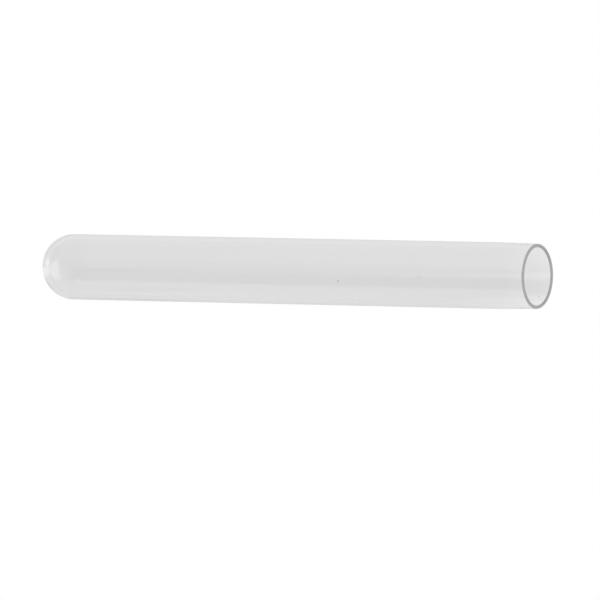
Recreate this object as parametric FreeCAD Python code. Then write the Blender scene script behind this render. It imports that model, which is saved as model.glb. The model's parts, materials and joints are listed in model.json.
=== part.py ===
"""Rimless test tube, nominally 18 x 150 mm: one piece of drawn glass tubing with a blown round bottom.

Millimetres. The tube lies on its side with its mouth towards +X. The origin is on the surface
that the tube lies on, under the middle of its length, so the lowest line of the wall is at Z = 0.
Everything is one outline, in axial distance and radius, turned once about the tube's axis.
"""

import FreeCAD
import Part

import math
import os

# Driving dimensions
OUTER_DIAMETER = 17.7  # 18 nominal, at the thin end of what drawn tubing varies by
OVERALL_LENGTH = 151.0  # 150 nominal
WALL = 1.1  # along the body
BOTTOM_WALL = 1.4  # at the middle of the round bottom, where blown glass stays a little thicker
BOTTOM_RADIUS = 9.8  # of the round bottom over its middle, which is a little fuller than half a ball
BOTTOM_TURN_RADIUS = 8.4  # of the round bottom where it turns into the wall
MOUTH_DRAWN_IN = 0.2  # how far the outer wall closes in as the rim is melted round
MOUTH_DRAWN_LENGTH = 11.0  # the length over which it does so

# Worked out from them
OUTER_RADIUS = OUTER_DIAMETER / 2
BORE_RADIUS = OUTER_RADIUS - WALL
RIM_OUTER_RADIUS = OUTER_RADIUS - MOUTH_DRAWN_IN
RIM_ROUND = (RIM_OUTER_RADIUS - BORE_RADIUS) / 2  # the rim is a full round, from bore to outer wall
RIM_RING_RADIUS = BORE_RADIUS + RIM_ROUND

BOTTOM_END = -OVERALL_LENGTH / 2
MOUTH_END = OVERALL_LENGTH / 2
TURN_OFF_AXIS = OUTER_RADIUS - BOTTOM_TURN_RADIUS  # how far the turn's centre is off the axis
TURN_MEETS = math.asin(TURN_OFF_AXIS / (BOTTOM_RADIUS - BOTTOM_TURN_RADIUS))  # angle where the arcs meet
TURN_BACK = TURN_OFF_AXIS / math.tan(TURN_MEETS)  # from the middle arc's centre back to the turn's
OUTER_TURN_CENTRE = BOTTOM_END + BOTTOM_RADIUS - TURN_BACK
INNER_TURN_CENTRE = OUTER_TURN_CENTRE + BOTTOM_WALL - WALL
RIM_CENTRE = MOUTH_END - RIM_ROUND
DRAWN_IN_START = RIM_CENTRE - MOUTH_DRAWN_LENGTH


def at(axial, radius):
    """A point of the outline, at that distance along the axis and that radius above it."""
    return FreeCAD.Vector(axial, 0, OUTER_RADIUS + radius)


def line(start, end):
    return Part.LineSegment(start, end).toShape()


def arc(start, middle, end):
    return Part.Arc(start, middle, end).toShape()


def bottom_arcs(turn_centre, inset):
    """The round bottom from the axis to the straight wall: two arcs that meet without a corner.

    The inset is how much smaller the two radii are than those of the outside.
    """

    def on_middle(angle):
        radius = BOTTOM_RADIUS - inset
        return at(turn_centre + TURN_BACK - radius * math.cos(angle), radius * math.sin(angle))

    def on_turn(angle):
        radius = BOTTOM_TURN_RADIUS - inset
        return at(turn_centre - radius * math.cos(angle), TURN_OFF_AXIS + radius * math.sin(angle))

    wall = math.pi / 2
    return [
        arc(on_middle(0), on_middle(TURN_MEETS / 2), on_middle(TURN_MEETS)),
        arc(on_turn(TURN_MEETS), on_turn((TURN_MEETS + wall) / 2), on_turn(wall)),
    ]


def outer_wall():
    """The round bottom, then the straight wall."""
    straight = line(at(OUTER_TURN_CENTRE, OUTER_RADIUS), at(DRAWN_IN_START, OUTER_RADIUS))
    return bottom_arcs(OUTER_TURN_CENTRE, 0) + [straight]


def drawn_in_mouth():
    """Two equal arcs that bend in and back, so that the wall meets the rim running straight."""
    half_length = MOUTH_DRAWN_LENGTH / 2
    half_depth = MOUTH_DRAWN_IN / 2
    bend_radius = (half_length**2 + half_depth**2) / (2 * half_depth)
    quarter = half_length / 2
    quarter_depth = bend_radius - math.sqrt(bend_radius**2 - quarter**2)
    middle = at(DRAWN_IN_START + half_length, OUTER_RADIUS - half_depth)
    return [
        arc(
            at(DRAWN_IN_START, OUTER_RADIUS),
            at(DRAWN_IN_START + quarter, OUTER_RADIUS - quarter_depth),
            middle,
        ),
        arc(
            middle,
            at(RIM_CENTRE - quarter, RIM_OUTER_RADIUS + quarter_depth),
            at(RIM_CENTRE, RIM_OUTER_RADIUS),
        ),
    ]


def rim():
    """The fire-polished edge of the mouth, a half circle across the wall."""
    return [
        arc(
            at(RIM_CENTRE, RIM_OUTER_RADIUS),
            at(MOUTH_END, RIM_RING_RADIUS),
            at(RIM_CENTRE, BORE_RADIUS),
        )
    ]


def bore():
    """The straight bore, the inside of the round bottom, and the line along the axis."""
    straight = line(at(RIM_CENTRE, BORE_RADIUS), at(INNER_TURN_CENTRE, BORE_RADIUS))
    middle_of_wall = line(at(BOTTOM_END + BOTTOM_WALL, 0), at(BOTTOM_END, 0))
    return [straight] + bottom_arcs(INNER_TURN_CENTRE, WALL) + [middle_of_wall]


def tube():
    """The outline's face turned about the tube's axis into one closed solid of glass."""
    edges = outer_wall() + drawn_in_mouth() + rim() + bore()
    section = Part.Face(Part.Wire(Part.__sortEdges__(edges)))
    turned = section.revolve(at(0, 0), FreeCAD.Vector(1, 0, 0), 360)
    if turned.Volume < 0:
        turned.reverse()
    return turned


def main():
    os.makedirs("parts", exist_ok=True)
    glass = tube()
    glass.exportStep("parts/tube.step")
    box = glass.optimalBoundingBox(False)
    print(f"tube: {glass.ShapeType}, valid {glass.isValid()}, {glass.Volume:.1f} mm3")
    print(f"length {box.XLength:.2f}, width {box.YLength:.2f}, height {box.ZLength:.2f}")
    print(f"lowest Z {box.ZMin:.3f}, X from {box.XMin:.2f} to {box.XMax:.2f}")
    print(f"straight outer wall from X {OUTER_TURN_CENTRE:.2f} to {DRAWN_IN_START:.2f}")
    print(f"straight bore from X {INNER_TURN_CENTRE:.2f} to {RIM_CENTRE:.2f}")


main()
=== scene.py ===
"""The looks of a clear glass test tube that lies on a pale floor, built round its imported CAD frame.

Metres, in the frame's own axes: the tube's axis runs along X, its open mouth is at +X, and the
floor that it lies on is Z = 0.
"""

import json
import math

import bmesh
import bpy
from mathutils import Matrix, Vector

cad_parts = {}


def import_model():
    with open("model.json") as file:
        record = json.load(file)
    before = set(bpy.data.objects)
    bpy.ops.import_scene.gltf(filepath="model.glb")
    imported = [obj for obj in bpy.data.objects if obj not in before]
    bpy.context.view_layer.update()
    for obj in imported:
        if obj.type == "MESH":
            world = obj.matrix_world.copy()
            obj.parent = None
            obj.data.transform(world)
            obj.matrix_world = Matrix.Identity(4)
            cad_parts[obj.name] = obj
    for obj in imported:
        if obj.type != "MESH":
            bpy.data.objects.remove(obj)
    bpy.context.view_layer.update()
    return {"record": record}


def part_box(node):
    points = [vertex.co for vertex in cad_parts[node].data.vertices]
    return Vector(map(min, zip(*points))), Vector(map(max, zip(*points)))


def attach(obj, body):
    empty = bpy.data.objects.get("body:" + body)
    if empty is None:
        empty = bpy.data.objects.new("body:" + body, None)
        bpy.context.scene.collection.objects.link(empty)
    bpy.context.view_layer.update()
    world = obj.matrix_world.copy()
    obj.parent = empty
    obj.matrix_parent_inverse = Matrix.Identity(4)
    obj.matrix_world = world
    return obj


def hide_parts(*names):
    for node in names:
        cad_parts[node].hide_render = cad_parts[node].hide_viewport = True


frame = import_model()

MM = 0.001


# ---------------------------------------------------------------- sizes of the glass

# From the frame
mounts = {mount["name"]: mount for mount in frame["record"]["mounts"]}
TUBE_LOW, TUBE_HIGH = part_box("tube")
BOTTOM_X = TUBE_LOW.x
MOUTH_X = TUBE_HIGH.x
AXIS_Z = mounts["body"]["pos_m"][2]
OUTER_R = mounts["body"]["dims"]["r_mm"] * MM
BORE_R = mounts["mouth"]["dims"]["r_mm"] * MM
WALL = OUTER_R - BORE_R

# The round end, which is one arc over its middle and another where it turns into the wall
BOTTOM_WALL = 1.4 * MM
BOTTOM_RADIUS = 9.8 * MM
TURN_RADIUS = 8.4 * MM
TURN_OFF_AXIS = OUTER_R - TURN_RADIUS
TURN_MEETS = math.asin(TURN_OFF_AXIS / (BOTTOM_RADIUS - TURN_RADIUS))  # angle where the arcs meet
TURN_BACK = TURN_OFF_AXIS / math.tan(TURN_MEETS)  # from the turn's centre to the middle arc's
OUTER_TURN_X = BOTTOM_X + BOTTOM_RADIUS - TURN_BACK
INNER_TURN_X = OUTER_TURN_X + BOTTOM_WALL - WALL

# The mouth, where the outer wall closes in a little and the edge is melted round
LIP_DRAWN_IN = 0.20 * MM
LIP_LENGTH = 11.0 * MM
LIP_ROUND = (OUTER_R - LIP_DRAWN_IN - BORE_R) / 2
LIP_CENTRE_X = MOUTH_X - LIP_ROUND
LIP_START_X = LIP_CENTRE_X - LIP_LENGTH
RIM_SHADE_X = LIP_CENTRE_X - 0.05 * MM  # where the rim's painted grey shade starts

# How many steps each stretch of the outline is divided into, and how many facets go round it
OUTER_BOTTOM_STEPS = 72
INNER_BOTTOM_STEPS = 64
WALL_STEPS = 12
LIP_STEPS = 40
RIM_STEPS = 20
RIM_SHADE_WALL_STEPS = 2
AROUND = 360

OUTSIDE, INSIDE, RIM = range(3)  # the surfaces, in the order of their material slots


# ---------------------------------------------------------------- shape of the glass


def bottom_points(turn_x, inset, steps):
    """Two smooth arcs from the axis to the straight wall, without the first point, on the axis."""
    points = []
    for i in range(1, steps + 1):
        angle = math.pi / 2 * i / steps
        if angle < TURN_MEETS:
            centre_x, off_axis, radius = turn_x + TURN_BACK, 0.0, BOTTOM_RADIUS - inset
        else:
            centre_x, off_axis, radius = turn_x, TURN_OFF_AXIS, TURN_RADIUS - inset
        points.append((centre_x - radius * math.cos(angle), off_axis + radius * math.sin(angle)))
    return points


def straight_points(start_x, end_x, radius, steps):
    """Points along a straight wall, without its first end."""
    return [(start_x + (end_x - start_x) * i / steps, radius) for i in range(1, steps + 1)]


def lip_points(start_x, end_x, steps):
    """Points on the outer wall where it closes in to the rim, on a smooth S-shaped line."""
    points = []
    for i in range(1, steps + 1):
        x = start_x + (end_x - start_x) * i / steps
        along = 1 - (LIP_CENTRE_X - x) / LIP_LENGTH
        inwards = (1 - math.cos(math.pi * along)) / 2
        points.append((x, OUTER_R - LIP_DRAWN_IN * inwards))
    return points


def rim_points(steps):
    """The half circle of the melted rim, from the outer wall over to the bore."""
    points = []
    for i in range(1, steps + 1):
        angle = math.pi / 2 - math.pi * i / steps
        x = LIP_CENTRE_X + LIP_ROUND * math.cos(angle)
        points.append((x, BORE_R + LIP_ROUND + LIP_ROUND * math.sin(angle)))
    return points


def glass_stretches():
    """The outline from the outer pole to the inner one: each stretch's points, and its surface."""
    return (
        (bottom_points(OUTER_TURN_X, 0.0, OUTER_BOTTOM_STEPS), OUTSIDE),
        (straight_points(OUTER_TURN_X, LIP_START_X, OUTER_R, WALL_STEPS), OUTSIDE),
        (lip_points(LIP_START_X, RIM_SHADE_X, LIP_STEPS), OUTSIDE),
        (lip_points(RIM_SHADE_X, LIP_CENTRE_X, RIM_SHADE_WALL_STEPS), RIM),
        (rim_points(RIM_STEPS), RIM),
        (straight_points(LIP_CENTRE_X, RIM_SHADE_X, BORE_R, RIM_SHADE_WALL_STEPS), RIM),
        (straight_points(RIM_SHADE_X, INNER_TURN_X, BORE_R, WALL_STEPS)[:-1], INSIDE),
        (reversed(bottom_points(INNER_TURN_X, WALL, INNER_BOTTOM_STEPS)), INSIDE),
    )


def new_object(name, mesh):
    """Put what the mesh code made into the scene, as an object of that name."""
    data = bpy.data.meshes.new(name)
    mesh.to_mesh(data)
    mesh.free()
    made = bpy.data.objects.new(name, data)
    bpy.context.scene.collection.objects.link(made)
    return made


def turned_glass():
    """The outline turned about the tube's axis: one closed mesh, outer wall, rim and bore."""
    mesh = bmesh.new()
    rings = []
    for points, surface in glass_stretches():
        for x, radius in points:
            ring = []
            for i in range(AROUND):
                angle = 2 * math.pi * i / AROUND
                y, z = radius * math.cos(angle), AXIS_Z + radius * math.sin(angle)
                ring.append(mesh.verts.new((x, y, z)))
            rings.append((ring, surface))
    for (ring, _), (next_ring, surface) in zip(rings, rings[1:]):
        for i in range(AROUND):
            j = (i + 1) % AROUND
            face = mesh.faces.new((ring[i], ring[j], next_ring[j], next_ring[i]))
            face.material_index = surface
    for pole_x, (ring, surface) in ((BOTTOM_X, rings[0]), (BOTTOM_X + BOTTOM_WALL, rings[-1])):
        pole = mesh.verts.new((pole_x, 0, AXIS_Z))
        for i in range(AROUND):
            face = mesh.faces.new((pole, ring[i], ring[(i + 1) % AROUND]))
            face.material_index = surface
    bmesh.ops.recalc_face_normals(mesh, faces=mesh.faces)
    for face in mesh.faces:
        face.smooth = True
    return new_object("glass_tube", mesh)


# ---------------------------------------------------------------- node helpers


def node_material(name):
    """A new material, and its node tree."""
    material = bpy.data.materials.new(name)
    material.use_nodes = True
    return material, material.node_tree


def feed(tree, value, socket):
    """Set a socket to a number, or link it to another node's output."""
    if isinstance(value, (int, float)):
        socket.default_value = value
    else:
        tree.links.new(value, socket)


def math_node(tree, operation, *values):
    node = tree.nodes.new("ShaderNodeMath")
    node.operation = operation
    for socket, value in zip(node.inputs, values):
        feed(tree, value, socket)
    return node.outputs[0]


def product(tree, *factors):
    """All the factors multiplied together."""
    result = factors[0]
    for factor in factors[1:]:
        result = math_node(tree, "MULTIPLY", result, factor)
    return result


def vector_node(tree, operation, vector, other=(0, 0, 0)):
    """A vector operation on a node's output and a fixed vector."""
    node = tree.nodes.new("ShaderNodeVectorMath")
    node.operation = operation
    tree.links.new(vector, node.inputs[0])
    node.inputs[1].default_value = other
    return node.outputs


def dot(tree, vector, way):
    return vector_node(tree, "DOT_PRODUCT", vector, way)["Value"]


def object_place(tree):
    """Where a point of the surface is, in metres."""
    return tree.nodes.new("ShaderNodeTexCoord").outputs["Object"]


def split_axes(tree, vector):
    node = tree.nodes.new("ShaderNodeSeparateXYZ")
    tree.links.new(vector, node.inputs[0])
    return node.outputs


def soft_step(tree, value, low, high, at_low=0.0, at_high=1.0):
    """A smooth change from one level to another as the value goes from low to high."""
    node = tree.nodes.new("ShaderNodeMapRange")
    node.interpolation_type = "SMOOTHSTEP"
    tree.links.new(value, node.inputs["Value"])
    node.inputs["From Min"].default_value = low
    node.inputs["From Max"].default_value = high
    node.inputs["To Min"].default_value = at_low
    node.inputs["To Max"].default_value = at_high
    return node.outputs[0]


def blobs(tree, vector, size, detail):
    """A noise of soft blobs of about that size, broken up further by its detail."""
    noise = tree.nodes.new("ShaderNodeTexNoise")
    noise.inputs["Scale"].default_value = 1 / size
    noise.inputs["Detail"].default_value = detail
    tree.links.new(vector, noise.inputs["Vector"])
    return noise.outputs["Fac"]


# ---------------------------------------------------------------- materials of the glass

GLASS_IOR = 1.473

# What part of the light the surface lets by, along the tube and at the mouth, which is clearer
CLEAR = 0.96
CLEAR_AT_MOUTH = 0.99
CLEARS_FROM_X = MOUTH_X - 7 * MM
CLEARS_TO_X = MOUTH_X - MM

# The outside of the round end is slightly darker, as far as where it has turned into the wall
ROUND_END_TINT = 0.965
ROUND_END_FULL_X = OUTER_TURN_X - 3 * MM
ROUND_END_OVER_X = OUTER_TURN_X + MM

# A painted shade: the outside darkens as it turns to a glancing angle, which draws dark outlines along
# its edges. From and to what value of the layer weight's facing, which is 0 straight on and 1 edge on,
# and the tint, the darkest level of the painted shade, that it reaches
PAINTED_EDGE_SHADES = ((0.54, 0.66, 0.94), (0.78, 0.95, 0.40))

# What the drawing of the tubing left: lengthways waves, an uneven polish and an uneven thin film.
# Each is a noise, of which the width of the marks and the detail are given
DRAWN_OUT = 30  # how many times longer than wide the marks are
WAVES = (2.4 * MM, 2.0)
WAVE_DEPTH = 0.006 * MM
POLISH = (5 * MM, 4.0)
POLISH_RANGE = (0.45, 0.75)  # the values of the noise between which it goes from smooth to its roughest
MOST_ROUGHNESS = 0.02
FILM = (7 * MM, 3.0)
FILM_RANGE = (0.40, 0.70)  # the values of the noise between which it goes from nothing to its thickest
FILM_TINT = 0.988

# The edge of the mouth, with a painted shade: a mid grey that stands in for the dark ring the glass rim
# shows. Its noise, and the greys and roughnesses that it goes between
RIM_NOISE = (1.5 * MM, 3.0)
RIM_NOISE_RANGE = (0.3, 0.7)
RIM_PAINTED_SHADE_GREYS = (0.46, 0.49)
RIM_ROUGHNESSES = (0.34, 0.40)
RIM_TRANSMISSION = 0.1


def on_wall(x, radius, angle):
    """A point on a wall of that radius. The angle, in degrees, is upwards from the -Y side."""
    turned = math.radians(angle)
    return x, -radius * math.cos(turned), AXIS_Z + radius * math.sin(turned)


# Seeds, the tiny bubbles in the glass: the place of each, its radius and how much light it lets by
OUTER_SEEDS = (
    (on_wall(19.6 * MM, OUTER_R, -13), 0.36 * MM, 0.45),
    (on_wall(44.3 * MM, OUTER_R, -3), 0.50 * MM, 0.90),
)
INNER_SEEDS = ((on_wall(72.8 * MM, BORE_R, 226), 0.50 * MM, 0.70),)
SEED_CORE = 0.4  # the part of a seed's radius that is at its darkest


def drawn_place(tree):
    """The place squeezed along the tube, so that a pattern is drawn out lengthways as the glass was."""
    squeeze = tree.nodes.new("ShaderNodeMapping")
    squeeze.inputs["Scale"].default_value = (1 / DRAWN_OUT, 1, 1)
    tree.links.new(object_place(tree), squeeze.inputs["Vector"])
    return squeeze.outputs["Vector"]


def add_draw_lines(tree, shader):
    """The faint lengthways waves of drawn tubing, and its uneven polish."""
    place = drawn_place(tree)
    waves = tree.nodes.new("ShaderNodeBump")
    waves.inputs["Distance"].default_value = WAVE_DEPTH
    tree.links.new(blobs(tree, place, *WAVES), waves.inputs["Height"])
    tree.links.new(waves.outputs["Normal"], shader.inputs["Normal"])
    polish = tree.nodes.new("ShaderNodeMapRange")
    polish.inputs["From Min"].default_value = POLISH_RANGE[0]
    polish.inputs["From Max"].default_value = POLISH_RANGE[1]
    polish.inputs["To Min"].default_value = 0.0
    polish.inputs["To Max"].default_value = MOST_ROUGHNESS
    tree.links.new(blobs(tree, place, *POLISH), polish.inputs["Value"])
    tree.links.new(polish.outputs["Result"], shader.inputs["Roughness"])


def seed_shade(tree, place, centre, radius, passed):
    """What part of the light a seed at that centre lets by: all of it beyond its radius."""
    away = vector_node(tree, "DISTANCE", place, centre)["Value"]
    return soft_step(tree, away, SEED_CORE * radius, radius, passed, 1.0)


def glass_material(name, round_end_tint, painted_edge_shades, seeds):
    """Clear glass, a little clearer at the mouth, with its round end and seeds tinted, and a painted
    shade along its edges at a glancing angle.
    """
    material, tree = node_material(name)
    shader = tree.nodes["Principled BSDF"]
    shader.inputs["IOR"].default_value = GLASS_IOR
    shader.inputs["Transmission Weight"].default_value = 1.0
    place = object_place(tree)
    x = split_axes(tree, place)[0]
    clear = soft_step(tree, x, CLEARS_FROM_X, CLEARS_TO_X, CLEAR, CLEAR_AT_MOUTH)
    round_end = soft_step(tree, x, ROUND_END_FULL_X, ROUND_END_OVER_X, round_end_tint, 1.0)
    colour = product(tree, clear, round_end)
    facing = tree.nodes.new("ShaderNodeLayerWeight").outputs["Facing"]
    # painted shade: darker towards the edges, as they turn to a glancing angle
    for start, end, edge_shade in painted_edge_shades:
        colour = product(tree, colour, soft_step(tree, facing, start, end, 1.0, edge_shade))
    for centre, radius, passed in seeds:
        colour = product(tree, colour, seed_shade(tree, place, centre, radius, passed))
    film = blobs(tree, drawn_place(tree), *FILM)
    colour = product(tree, colour, soft_step(tree, film, *FILM_RANGE, 1.0, FILM_TINT))
    tree.links.new(colour, shader.inputs["Base Color"])
    add_draw_lines(tree, shader)
    return material


def rim_material():
    """The melted edge of the mouth, painted a mid grey all round and a little rough: a painted shade
    for the dark ring that the glass rim shows.
    """
    material, tree = node_material("painted_shade_rim")
    shader = tree.nodes["Principled BSDF"]
    shader.inputs["IOR"].default_value = GLASS_IOR
    shader.inputs["Transmission Weight"].default_value = RIM_TRANSMISSION
    noise_on_rim = blobs(tree, object_place(tree), *RIM_NOISE)
    # painted shade: the rim's grey stands in for the dark that the glass rim shows
    painted_rim_shade = soft_step(tree, noise_on_rim, *RIM_NOISE_RANGE, *RIM_PAINTED_SHADE_GREYS)
    roughness = soft_step(tree, noise_on_rim, *RIM_NOISE_RANGE, *RIM_ROUGHNESSES)
    tree.links.new(painted_rim_shade, shader.inputs["Base Color"])
    tree.links.new(roughness, shader.inputs["Roughness"])
    return material


# ---------------------------------------------------------------- stage: levels and places

SURROUND = 0.797  # the level of the light that reaches the glass from all round
SKY_GAIN = 0.02  # and how much higher it is from above
SKY_SLOPES = (0.15, 0.70)  # the upwards parts of the directions between which it rises

# The shades under the tube: how far each reaches from the line of contact, and its level on that line
CLOSE_SHADE = (3 * MM, 0.92)
WIDE_SHADE = (14 * MM, 0.985)

# Where the floor's light changes behind the tube: from and to what Y, and the part of it that is lost
FLOOR_STEPS = (
    (38 * MM, 62 * MM, 0.078),
    (120 * MM, 210 * MM, -0.045),
    (200 * MM, 900 * MM, -0.035),
)

# Pools of light and shade on the floor: the middle in X and Y, half the length in X and in Y, and
# the part of the light that is added in the middle, or taken away
FLOOR_POOLS = (
    (-40 * MM, 220 * MM, 50 * MM, 80 * MM, 0.04),
    (68 * MM, 8 * MM, 22 * MM, 16 * MM, 0.05),
    (-55 * MM, 18 * MM, 22 * MM, 12 * MM, -0.04),
    (-150 * MM, 170 * MM, 30 * MM, 50 * MM, -0.035),
    (-52 * MM, 0, 36 * MM, 2 * MM, -0.10),
)
POOL_CORE = 0.4  # the part of a pool's half length that is at its full level

# The fan of light that opens on the floor from the round end: the way of its middle, the dot products
# with that way at its edge and in its core, and its levels there
FAN_WAY = (-0.92, 0.33, 0.18)
FAN_REACH = (0.70, 0.868)
FAN_LEVELS = (0.70, 0.92)
FAN_FAR_SLOPES = (-0.06, -0.01)  # between these, towards the horizon, it falls to its far level
FAN_FAR_LEVEL = 0.95
FAN_NEAR_SLOPES = (-0.30, -0.16)  # between these, away from the tube, it rises from its near level
FAN_NEAR_LEVEL = 0.82

# Soft boxes round the tube: the way to each, half its width and height at 1 m away, and its level
SOFT_BOXES = (
    ((-0.80, -0.62, 0.10), 0.28, 0.20, 0.4),
    ((0.0, -0.5, 0.86), 0.20, 0.14, 0.9),
    ((-0.95, 0.32, 0.03), 0.30, 0.11, 0.17),
)
BOX_FADE = 0.05  # half the width of the fade at a soft box's edge
BOX_LEAST_FACING = 0.1  # the dot product with the way to a box that a direction needs to meet it

# Wide faint glows and shades round the tube: the way to each, and what it adds to the light
WIDE_GLOWS = (
    ((0.57, 0.80, 0.06), 0.16),
    ((0.50, 0.62, 0.55), -0.12),
)
GLOW_REACH = (0.914, 0.978)  # the dot products with that way at a glow's edge and in its core

FLOOR_HALF = 30.0  # half the length of each side


# ---------------------------------------------------------------- stage: floor and light


def seen_or_lit(tree, seen, lit):
    """One level for what the camera sees straight, and another for what reaches the glass."""
    path = tree.nodes.new("ShaderNodeLightPath")
    pick = tree.nodes.new("ShaderNodeMapRange")
    tree.links.new(path.outputs["Is Camera Ray"], pick.inputs["Value"])
    feed(tree, lit, pick.inputs["To Min"])
    feed(tree, seen, pick.inputs["To Max"])
    return pick.outputs[0]


def distance(tree, x_square, y_square):
    """How far apart two places are, from the squares of their distances in X and in Y."""
    return math_node(tree, "SQRT", math_node(tree, "ADD", x_square, y_square))


def contact_distance(tree, x, y):
    """How far a place on the floor is from the line along which the tube touches it."""
    half = (LIP_START_X - OUTER_TURN_X) / 2
    from_middle = math_node(tree, "SUBTRACT", x, OUTER_TURN_X + half)
    past_end = math_node(tree, "SUBTRACT", math_node(tree, "ABSOLUTE", from_middle), half)
    past_end = math_node(tree, "MAXIMUM", past_end, 0.0)
    return distance(tree, math_node(tree, "POWER", past_end, 2.0), product(tree, y, y))


def contact_shade(tree, away, shade):
    """The level of a shade under the tube at that distance from the line of contact."""
    reach, level = shade
    return soft_step(tree, away, 0.0, reach, level, 1.0)


def pool(tree, x, y, centre_x, centre_y, half_x, half_y, gain):
    """A soft oval pool on the floor, brighter by the gain in its middle, or darker."""
    squares = []
    for place, centre, half in ((x, centre_x, half_x), (y, centre_y, half_y)):
        offset = math_node(tree, "DIVIDE", math_node(tree, "SUBTRACT", place, centre), half)
        squares.append(math_node(tree, "POWER", offset, 2.0))
    return soft_step(tree, distance(tree, *squares), POOL_CORE, 1.0, 1.0 + gain, 1.0)


def end_fan(tree, place):
    """The level of the fan of light on the floor, which opens from the round end towards -X and +Y."""
    from_end = vector_node(tree, "SUBTRACT", place, (OUTER_TURN_X, 0, AXIS_Z))["Vector"]
    towards = vector_node(tree, "NORMALIZE", from_end)["Vector"]
    slope = split_axes(tree, towards)[2]
    fan = soft_step(tree, dot(tree, towards, FAN_WAY), *FAN_REACH, *FAN_LEVELS)
    far = soft_step(tree, slope, *FAN_FAR_SLOPES, 1.0, FAN_FAR_LEVEL)
    near = soft_step(tree, slope, *FAN_NEAR_SLOPES, FAN_NEAR_LEVEL, 1.0)
    return product(tree, fan, far, near)


def floor_material():
    """A glowing floor: plain white with a soft shade under the tube where the camera sees it straight,
    and where the glass reflects or bends it, grey with steps, pools and a fan of light."""
    material, tree = node_material("pale_floor")
    tree.nodes.remove(tree.nodes["Principled BSDF"])
    glow = tree.nodes.new("ShaderNodeEmission")
    glow.inputs["Color"].default_value = (1, 1, 1, 1)
    place = object_place(tree)
    x, y, _ = split_axes(tree, place)
    away = contact_distance(tree, x, y)
    close = contact_shade(tree, away, CLOSE_SHADE)
    seen = product(tree, close, contact_shade(tree, away, WIDE_SHADE))
    lit = close
    for from_y, to_y, lost in FLOOR_STEPS:
        lit = product(tree, lit, soft_step(tree, y, from_y, to_y, 1.0, 1.0 - lost))
    for centre_x, centre_y, half_x, half_y, gain in FLOOR_POOLS:
        lit = product(tree, lit, pool(tree, x, y, centre_x, centre_y, half_x, half_y, gain))
    lit = math_node(tree, "MAXIMUM", product(tree, lit, SURROUND), end_fan(tree, place))
    tree.links.new(seen_or_lit(tree, seen, lit), glow.inputs["Strength"])
    tree.links.new(glow.outputs[0], tree.nodes["Material Output"].inputs["Surface"])
    return material


def floor():
    mesh = bmesh.new()
    corners = []
    for x, y in ((-1, -1), (1, -1), (1, 1), (-1, 1)):
        corners.append(mesh.verts.new((x * FLOOR_HALF, y * FLOOR_HALF, 0)))
    mesh.faces.new(corners)
    sheet = new_object("floor", mesh)
    sheet.data.materials.append(floor_material())


def soft_box(tree, towards, way, half_width, half_height, level):
    """The light of a rectangular soft box, seen from the tube in the direction given."""
    way = Vector(way).normalized()
    across = way.cross(Vector((0, 0, 1))).normalized()
    upwards = across.cross(way)
    facing = dot(tree, towards, way)
    light = math_node(tree, "GREATER_THAN", facing, BOX_LEAST_FACING)
    for axis, half in ((across, half_width), (upwards, half_height)):
        offset = math_node(tree, "ABSOLUTE", dot(tree, towards, axis))
        offset = math_node(tree, "DIVIDE", offset, facing)
        inside = soft_step(tree, offset, half - BOX_FADE, half + BOX_FADE, 1.0, 0.0)
        light = product(tree, light, inside)
    return product(tree, light, level)


def wide_glow(tree, towards, way, level):
    """A wide faint glow round one direction, or a shade where its level is below nothing."""
    return soft_step(tree, dot(tree, towards, Vector(way).normalized()), *GLOW_REACH, 0.0, level)


def world():
    """White where the camera sees it straight, and where the glass reflects or bends it, grey with
    soft boxes, glows and shades in it."""
    studio = bpy.data.worlds.new("studio")
    studio.use_nodes = True
    tree = studio.node_tree
    background = tree.nodes["Background"]
    background.inputs["Color"].default_value = (1, 1, 1, 1)
    towards = tree.nodes.new("ShaderNodeTexCoord").outputs["Generated"]
    slope = split_axes(tree, towards)[2]
    lit = soft_step(tree, slope, *SKY_SLOPES, SURROUND, SURROUND + SKY_GAIN)
    for way, level in WIDE_GLOWS:
        lit = math_node(tree, "ADD", lit, wide_glow(tree, towards, way, level))
    for way, half_width, half_height, level in SOFT_BOXES:
        box = soft_box(tree, towards, way, half_width, half_height, level)
        lit = math_node(tree, "ADD", lit, box)
    tree.links.new(seen_or_lit(tree, 1.0, lit), background.inputs["Strength"])
    bpy.context.scene.world = studio


# ---------------------------------------------------------------- camera

AZIMUTH = math.radians(29.09)  # from -Y towards the mouth
ELEVATION = math.radians(2.29)
DISTANCE = 3.0
LOOK_AT = Vector((3.094 * MM, 0, AXIS_Z - 7.683 * MM))  # the tube lies above the picture's middle
SENSOR_WIDTH = 36  # this and the focal length are in millimetres, as Blender takes them
FOCAL_LENGTH = 670.3


def camera():
    back = Vector((
        math.sin(AZIMUTH) * math.cos(ELEVATION),
        -math.cos(AZIMUTH) * math.cos(ELEVATION),
        math.sin(ELEVATION),
    ))
    data = bpy.data.cameras.new("camera")
    data.sensor_width = SENSOR_WIDTH
    data.lens = FOCAL_LENGTH
    eye = bpy.data.objects.new("camera", data)
    eye.location = LOOK_AT + DISTANCE * back
    eye.rotation_mode = "QUATERNION"
    eye.rotation_quaternion = (-back).to_track_quat("-Z", "Y")
    bpy.context.scene.collection.objects.link(eye)
    bpy.context.scene.camera = eye


# ---------------------------------------------------------------- put together

MOST_BOUNCES = 1024  # light that runs along inside the wall meets it hundreds of times

tube = turned_glass()
tube.data.materials.append(glass_material("clear_glass", ROUND_END_TINT, PAINTED_EDGE_SHADES, OUTER_SEEDS))
tube.data.materials.append(glass_material("clear_glass_inside", 1.0, (), INNER_SEEDS))
tube.data.materials.append(rim_material())
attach(tube, "root")
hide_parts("tube")

floor()
world()
camera()
bpy.context.scene.view_settings.view_transform = "Standard"
cycles = bpy.context.scene.cycles
cycles.max_bounces = MOST_BOUNCES
cycles.transmission_bounces = MOST_BOUNCES
cycles.glossy_bounces = MOST_BOUNCES
